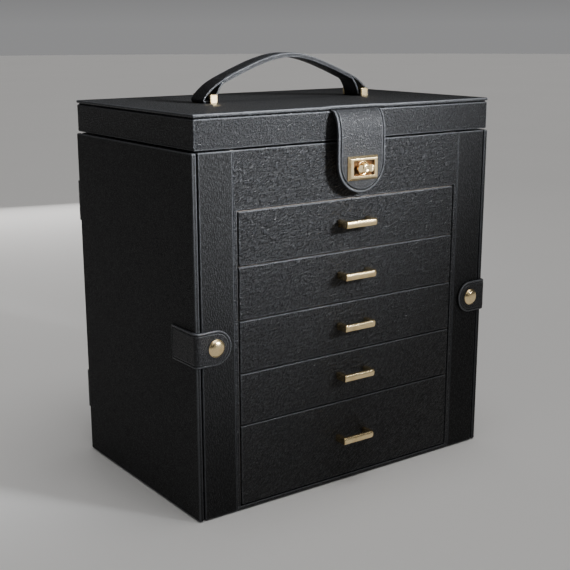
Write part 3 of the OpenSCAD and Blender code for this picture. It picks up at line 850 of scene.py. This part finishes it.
def makeTab(look):
    lo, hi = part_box("closure_tab")
    fall, thick, top = look["fall"], look["thick"], hi.z + 0.03 * mm
    quarter = [math.radians(90 + 4.5 * step) for step in range(21)]
    line = [(hi.y + look["hidden"], top)]
    line += [(hi.y + (hi.y - lo.y) * math.cos(turn), top - fall + fall * math.sin(turn)) for turn in quarter]
    line.append((lo.y, lo.z))
    track = Track(line)
    plate = roundEndPlate(look["wide"], track.length)
    padPlate(plate, look["rings"], thick)
    sliceAt(plate, [0.65 * mm * step for step in range(1, 50)])
    sliceAt(plate, evenly(32 * mm, track.length - 26 * mm, 4))
    for vert in plate.verts:  # thin where it passes under the top board
        grown = smooth((vert.co.x - look["hidden"]) / (5 * mm))
        least = look["hiddenThick"] + (thick - look["hiddenThick"]) * grown
        vert.co.z = max(vert.co.z, -least)
    bendAlong(plate, track, lambda point, across: Vector((across, point.x, point.y)))
    tab = addPiece("closure_tab_cover", plate, "strapLeather", None, ["closure_tab"])
    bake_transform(tab)


def makeLock(look):
    centre = middleOf("lock_plate")
    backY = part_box("lock_plate")[1].y
    halfWide, halfHigh, bevel = look["wide"] / 2, look["high"] / 2, look["bevel"]
    slotX, slotZ = look["slotWide"] / 2, look["slotHigh"] / 2
    plate = board((-halfWide, backY - look["thick"] + bevel, centre.z - halfHigh),
                  (halfWide, backY, centre.z + halfHigh))
    front = min(plate.faces, key=lambda one: faceMiddle(one).y)
    insetFace(plate, front, bevel, bevel)
    insetFace(plate, front, halfHigh - bevel - slotZ)
    for vert in front.verts:
        vert.co.x = math.copysign(slotX, vert.co.x)
    insetFace(plate, front, 0.02 * mm, look["floor"] - look["thick"])
    turnEdges(plate, sharpEdges(plate, 0.4), 0.3 * mm)
    near = 0.1 * mm
    # the slot's floor gets the dark bronze: painted shade in the recess
    for face in plate.faces:
        middle = faceMiddle(face)
        inSlot = abs(middle.x) < slotX - near and abs(middle.z - centre.z) < slotZ - near
        if inSlot and middle.y < backY - near:
            face.material_index = 1
    addPiece("lock_plate_cover", plate, "polishedGold", "tab", ["lock_plate"],
             inner="recessShadeBronze")
    floorY = backY - look["floor"]
    seat = turnedPart(seatProfile, (0, floorY + 0.05 * mm, centre.z))
    addPiece("lock_seat_ring", seat, "polishedGold", "tab")


def makeKnob(look):
    centre = middleOf("lock_plate")
    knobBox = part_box("turn_knob")
    wingBack = knobBox[0].y + look["rise"]
    half, swellAt = look["long"] / 2, look["swellAt"]
    wing = board((-half, wingBack - look["thick"], -1), (half, wingBack, 1))
    sliceAt(wing, [half * math.sin(math.radians(angle)) for angle in range(-84, 85, 6)])
    widest = look["waist"] + look["swell"]
    for vert in wing.verts:  # waisted in the middle, round at the ends
        far = abs(vert.co.x)
        high = look["waist"] + look["swell"] * smooth(far / swellAt)
        if far > swellAt:
            share = (far - swellAt) / (half - swellAt + 0.02 * mm)
            high = widest * math.sqrt(max(0.0, 1 - share ** 2)) + 0.15 * mm
        vert.co.z = centre.z + math.copysign(high, vert.co.z)
    turnEdges(wing, sharpEdges(wing, 0.8), 0.55 * mm)
    boss = turnedPart(bossProfile, (0, wingBack, centre.z))
    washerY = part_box("closure_tab")[0].y + 3.6 * mm
    washer = turnedPart(washerProfile, (0, washerY, centre.z))
    camRadius, camThick = (knobBox[1].z - centre.z) / mm, look["camThick"]
    camProfile = [(0, 0), (camRadius, 0), (camRadius, camThick), (0, camThick)]
    cam = turnedPart(camProfile, (0, knobBox[1].y, centre.z))
    for sign in (-1, 1):
        cut = cutAt(cam, (sign * look["camWide"] / 2, 0, 0), (sign, 0, 0), clear_outer=True)
        bmesh.ops.holes_fill(cam, edges=only(cut["geom_cut"], bmesh.types.BMEdge), sides=0)
    turnEdges(cam, sharpEdges(cam), 0.25 * mm, 2)
    knob = joinShapes(wing, boss, washer, cam)
    addPiece("turn_knob_cover", knob, "polishedGold", "knob", ["turn_knob"])
    dressNode("lock_keeper", "polishedGold", 0.4 * mm)


strapLook = {
    "thick": 2.2 * mm,
    "corner": 4 * mm,
    # as on the tab: 1 a painted highlight on the rolled edge, -1 painted shade in the groove
    "rings": [(0.3, 0.35, 1), (0.5, 0.25, 1), (0.8, 0.04, 0.3), (0.2, -0.5, -1),
              (0.6, 0.0, -1), (0.2, 0.5, 0.2), (0.4, 0.06, 0.6), (1.0, 0.04, 0)],
    "stitchInset": 3.4 * mm,
    "stitchBox": 24 * mm,
    "foldBehind": 5.6 * mm,  # where the fold starts, behind the front
    "foldWide": 6.4 * mm,
    "doorEdge": 1.1 * mm,
}
capProfile = [(0, 3.3), (1.6, 3.24), (3.2, 3.0), (4.7, 2.55), (5.9, 1.9), (6.8, 1.1), (7.05, 0.75),
              (7.15, 0.62), (7.42, 0.55), (7.5, 0.3), (7.42, 0.08), (7.1, 0), (2.0, 0), (2.0, -1.9), (0, -1.9)]


def makeSides(look):
    for side, sign in sides.items():
        door, strap = side + "_door", side + "_strap"
        coveredBoard(door, door, "sideLeather", look["doorEdge"], -sign)
        dressNode(side + "_door_leaves", "hingeLacquer", 0.15 * mm)
        baseLo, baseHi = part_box(side + "_strap_base")
        endLo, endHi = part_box(side + "_strap_end")
        outX = max(abs(baseLo.x), abs(baseHi.x))
        tipX = min(abs(endLo.x), abs(endHi.x))
        frontY, corner = endLo.y, look["corner"]
        line = [(outX, baseHi.y)] + arc((outX - corner, frontY + corner), corner, 0, -90, 10) + [(tipX, frontY)]
        track = Track(line, -1)
        wide = baseHi.z - baseLo.z
        midZ = (baseHi.z + baseLo.z) / 2

        def place(point, across):
            return Vector((sign * point.x, point.y, midZ + across))

        plate = roundEndPlate(wide, track.length)
        padPlate(plate, look["rings"], look["thick"])
        bendStart = baseHi.y - frontY - corner
        sliceAt(plate, evenly(bendStart - 3 * mm, bendStart + corner * 1.57 + 3 * mm, 26))
        bendAlong(plate, track, place)
        replaced = [side + "_strap_base", side + "_strap_end"]
        piece = addPiece(strap + "_cover", plate, "strapLeather", None, replaced)
        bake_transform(piece)

        sewn = bmesh.new()
        inset, span = look["stitchInset"], look["stitchBox"]
        half = wide / 2 - inset
        corners = [(inset, -half), (inset + span, -half), (inset + span, half), (inset, half)]
        for first, second in ((0, 1), (1, 2), (2, 3), (3, 0), (0, 2), (1, 3)):
            stitchRow(sewn, corners[first], corners[second], 0.05 * mm)
        bendAlong(sewn, track, place)
        addPiece(strap + "_stitches", sewn, "threadDark", door, weighted=False)

        capMiddle = middleOf(side + "_snap_cap")
        cap = turnedPart(capProfile, (capMiddle.x, frontY, capMiddle.z), 56)
        addPiece(side + "_snap_cover", cap, "polishedGold", strap, [side + "_snap_cap"],
                 weighted=False)
    dressNode("snap_studs", "polishedGold", 0.1 * mm)


drawerLook = {"edge": 0.95 * mm, "post": 4 * mm, "barDeep": 4 * mm, "corner": 2.8 * mm, "round": 0.7 * mm,
              "bulge": 0.9 * mm}
screwProfile = [(0, 0.35), (1.5, 0.3), (2.4, 0.55), (2.8, 1.0), (2.8, 1.4), (1.5, 1.4)]


def pullShape(lo, hi, look):
    half, high = hi.x, hi.z - lo.z
    bar = board((lo.x, lo.y, lo.z), (half, lo.y + look["barDeep"], hi.z))
    inner = half - look["post"]
    sliceAt(bar, (-inner, inner))
    posts = [face for face in bar.faces if face.normal.y > 0.9 and abs(faceMiddle(face).x) > inner]
    pushFaces(bar, posts, (0, hi.y - lo.y - look["barDeep"], 0))
    corners = [vert for vert in bar.verts if vert.co.y < lo.y + 1e-6 and abs(vert.co.x) > half - 1e-6]
    uprights = [edge for edge in bar.edges if all(vert in corners for vert in edge.verts)]
    bevelEdges(bar, uprights, look["corner"], 5)
    middle = (lo.z + hi.z) / 2
    sliceAt(bar, [middle + high * share for share in (-0.34, -0.17, 0, 0.17, 0.34)], 2)
    bevelEdges(bar, sharpEdges(bar, 0.9), look["round"], 3)
    for vert in bar.verts:  # the front is rounded from top to bottom
        fore = smooth((lo.y + 3 * mm - vert.co.y) / (2 * mm))
        vert.co.y += fore * look["bulge"] * (2 * (vert.co.z - middle) / high) ** 2
    return bar


def makeDrawers(look):
    for number in drawers:
        name, body = f"drawer_{number}_", f"drawer_{number}"
        coveredBoard(name + "front", body, "frontLeather", look["edge"])
        dressNode(name + "box", "boardWrap")
        dressNode(name + "insert", "liningSuede", 0.35 * mm)
        lo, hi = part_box(name + "pull")
        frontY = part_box(name + "front")[0].y
        bow = pullShape(lo, Vector((hi.x, frontY, hi.z)), look)
        # screws from inside the drawer into the pull's posts
        long = (hi.y - frontY) / mm + 4
        profile = screwProfile + [(1.5, long), (0, long)]
        screws = [turnedPart(profile, (sign * (hi.x - look["post"] / 2), hi.y, (lo.z + hi.z) / 2), 24)
                  for sign in (-1, 1)]
        pull = joinShapes(bow, *screws)
        addPiece(name + "pull_cover", pull, "polishedGold", body, [name + "pull"])


rollLook = {
    "count": 8,
    "slim": 1.3 * mm,  # room left for the filling
    "short": 2.2 * mm,
    "round": 2.5 * mm,
    "voxel": 2.6 * mm,
    "pressure": 4.0,
    "moments": 20,
    "cap": 1.4 * mm,  # the most that the filling may move the cloth
}
pouchLook = {"cloth": 0.9 * mm, "gathers": 17, "gatherDepth": 1.1 * mm, "belly": 1.1 * mm, "elastic": 0.9 * mm}
# middles of the hinges, and the screws' places from there
hingeLook = {"lidX": 95 * mm, "doorX": 140 * mm, "doorZ": (60 * mm, 240 * mm), "steps": (-12 * mm, 0, 12 * mm),
             "under": 9.5 * mm, "over": 10 * mm, "proud": 0.8 * mm}
headProfile = [(0, 0.25), (0.7, 0.25), (0.9, 0.62), (1.6, 0.45), (2.0, 0.0), (0, -0.2)]


def settled(piece):
    bpy.context.view_layer.update()
    return bpy.data.meshes.new_from_object(piece.evaluated_get(bpy.context.evaluated_depsgraph_get()))


# fills a closed shape from inside with a short cloth run, and returns its mesh
def plump(shape, look):
    mesh = bpy.data.meshes.new("roll")
    shape.to_mesh(mesh)
    shape.free()
    piece = addObject("roll", mesh)
    even = piece.modifiers.new("even", "REMESH")
    even.mode, even.voxel_size = "VOXEL", look["voxel"]
    piece.data = settled(piece)
    piece.modifiers.clear()
    rest = [vert.co.copy() for vert in piece.data.vertices]
    stuffing = piece.modifiers.new("stuffing", "CLOTH").settings
    stuffing.use_pressure = True
    stuffing.uniform_pressure_force = look["pressure"]
    stuffing.effector_weights.gravity = 0
    for moment in range(look["moments"]):
        bpy.context.scene.frame_set(moment + 1)
    grown = settled(piece)
    piece.modifiers.clear()
    bpy.context.scene.frame_set(1)
    for vert, before in zip(grown.vertices, rest):
        move = vert.co - before
        if move.length > look["cap"]:
            vert.co = before + move.normalized() * look["cap"]
    piece.data = grown
    finer = piece.modifiers.new("finer", "SUBSURF")
    finer.levels = finer.render_levels = 1
    mesh = settled(piece)
    bpy.data.objects.remove(piece)
    return mesh


def makeRingRolls(look):
    lo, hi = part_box("ring_rolls")
    radius = (hi.z - lo.z) / 2
    pitch = (hi.y - lo.y - 2 * radius) / (look["count"] - 1)
    length = hi.x - lo.x
    roll = bmesh.new()
    slim = radius - look["slim"]
    lie = Matrix.Rotation(math.radians(90), 4, "Y")
    bmesh.ops.create_cone(roll, cap_ends=True, segments=32, radius1=slim, radius2=slim,
                          depth=length - look["short"], matrix=lie)
    turnEdges(roll, sharpEdges(roll, 1.2), look["round"], 4)
    mesh = plump(roll, look)
    for number in range(look["count"]):
        one = bmesh.new()
        one.from_mesh(mesh)
        turn = Matrix.Rotation(number * 1.1, 3, "X")  # so that no two look the same
        bmesh.ops.rotate(one, cent=(0, 0, 0), matrix=turn, verts=one.verts)
        place = Vector(((lo.x + hi.x) / 2, lo.y + radius + number * pitch, lo.z + radius))
        bmesh.ops.translate(one, vec=place, verts=one.verts)
        piece = addPiece(f"ring_roll_{number + 1}", one, "rollSuede", "root", ["ring_rolls"],
                         weighted=False)
    bpy.data.meshes.remove(mesh)


def makePouches(look):
    lo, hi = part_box("side_pockets")
    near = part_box("right_divider")[1].x
    for side, sign in sides.items():
        pouch = board((near + 0.2 * mm, lo.y + 1 * mm, lo.z + 0.5 * mm),
                      (hi.x - 1.6 * mm, hi.y - 1 * mm, hi.z - 1 * mm))
        sliceAt(pouch, evenly(lo.y, hi.y, 118), 1)
        sliceAt(pouch, evenly(lo.z, hi.z, 22), 2)
        top = [face for face in pouch.faces if face.normal.z > 0.9]
        bmesh.ops.delete(pouch, geom=top, context="FACES")
        for vert in pouch.verts:
            out = (vert.co.x - near) / (hi.x - near)
            up = (vert.co.z - lo.z) / (hi.z - lo.z)
            if out > 0.5:
                along = (vert.co.y - lo.y) / (hi.y - lo.y)
                wave = math.cos(2 * math.pi * look["gathers"] * along + 0.6 * math.sin(vert.co.y * 90))
                belly = look["belly"] * math.sin(math.pi * min(up * 1.35, 1))
                elastic = look["elastic"] * smooth((up - 0.82) / 0.08) * smooth((0.97 - up) / 0.05)
                vert.co.x += look["gatherDepth"] * (0.6 * wave - 0.9) * smooth((up - 0.25) / 0.75) + belly
                vert.co.x -= elastic
            vert.co.x *= sign
        piece = addPiece(side + "_pouch", pouch, "liningSuede", "root", ["side_pockets"],
                         weighted=False)
        skin = piece.modifiers.new("clothThickness", "SOLIDIFY")
        skin.thickness, skin.offset = look["cloth"], -1


# screw heads on the hinge leaves at the back
def makeHingeScrews(look):
    heads = {"root": [], "lid": []}
    hingeZ = (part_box("lid_hinge_leaves")[0].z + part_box("back_panel")[1].z) / 2
    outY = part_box("back_panel")[1].y + look["proud"]
    for sign in (-1, 1):
        for step in look["steps"]:
            x = sign * look["lidX"] + step
            heads["root"].append((x, hingeZ - look["under"]))
            heads["lid"].append((x, hingeZ + look["over"]))
            for doorZ in look["doorZ"]:
                heads["root"].append((sign * look["doorX"], doorZ + step))
    for body, places in heads.items():
        caps = [turnedPart(headProfile, (x, outY, z), 14, facing=1) for x, z in places]
        addPiece("hinge_screws_" + body, joinShapes(*caps), "hingeLacquer", body, weighted=False)


def makeFittings():
    dressNode("tray_insert", "liningSuede", 0.5 * mm)
    dressNode("necklace_hooks", "polishedGold")
    for leaves in ("hinge_body_leaves", "lid_hinge_leaves"):
        dressNode(leaves, "hingeLacquer", 0.15 * mm)
    dressNode("hinge_pins", "pinSteel", 0.15 * mm)
    makeRingRolls(rollLook)
    makePouches(pouchLook)
    makeHingeScrews(hingeLook)


# the backdrop is pale near the floor and dimmer above it, up to fadeTop (sine of the height angle)
studioLook = {"floor": 14.0, "sky": (0.80, 0.80, 0.81), "skyLow": 0.34, "skyHigh": 0.05, "fadeTop": 0.13}


def makeStudio(look):
    ground = bmesh.new()
    bmesh.ops.create_circle(ground, cap_ends=True, segments=64, radius=look["floor"])
    mesh = bpy.data.meshes.new("studioFloor")
    ground.to_mesh(mesh)
    ground.free()
    floor = addObject("studioFloor", mesh)
    mesh.materials.append(finishes["floorPaint"])
    world = bpy.data.worlds.new("studioSky")
    world.use_nodes = True
    tree = world.node_tree
    background = tree.nodes["Background"]
    background.inputs["Color"].default_value = (*look["sky"], 1)
    direction = tree.nodes.new("ShaderNodeTexCoord")
    split = tree.nodes.new("ShaderNodeSeparateXYZ")
    fall = tree.nodes.new("ShaderNodeMapRange")
    fall.inputs["From Max"].default_value = look["fadeTop"]
    fall.inputs["To Min"].default_value = look["skyLow"]
    fall.inputs["To Max"].default_value = look["skyHigh"]
    tree.links.new(direction.outputs["Generated"], split.inputs[0])
    tree.links.new(split.outputs["Z"], fall.inputs["Value"])
    tree.links.new(fall.outputs[0], background.inputs["Strength"])
    bpy.context.scene.world = world


makeCamera(cameraLook)
makeLights(lightLook, overheadLook)
makeStudio(studioLook)
print("camera, lights and floor made")
makeCarcass(carcassLook)
print("carcass covered")
makeLid(lidLook)
makeHandle(handleLook)
print("lid and handle made")
makeTab(tabLook)
makeLock(lockLook)
makeKnob(knobLook)
print("tab and lock made")
makeSides(strapLook)
print("doors and straps made")
makeDrawers(drawerLook)
print("drawers made")
makeFittings()
print("linings and hinges made")
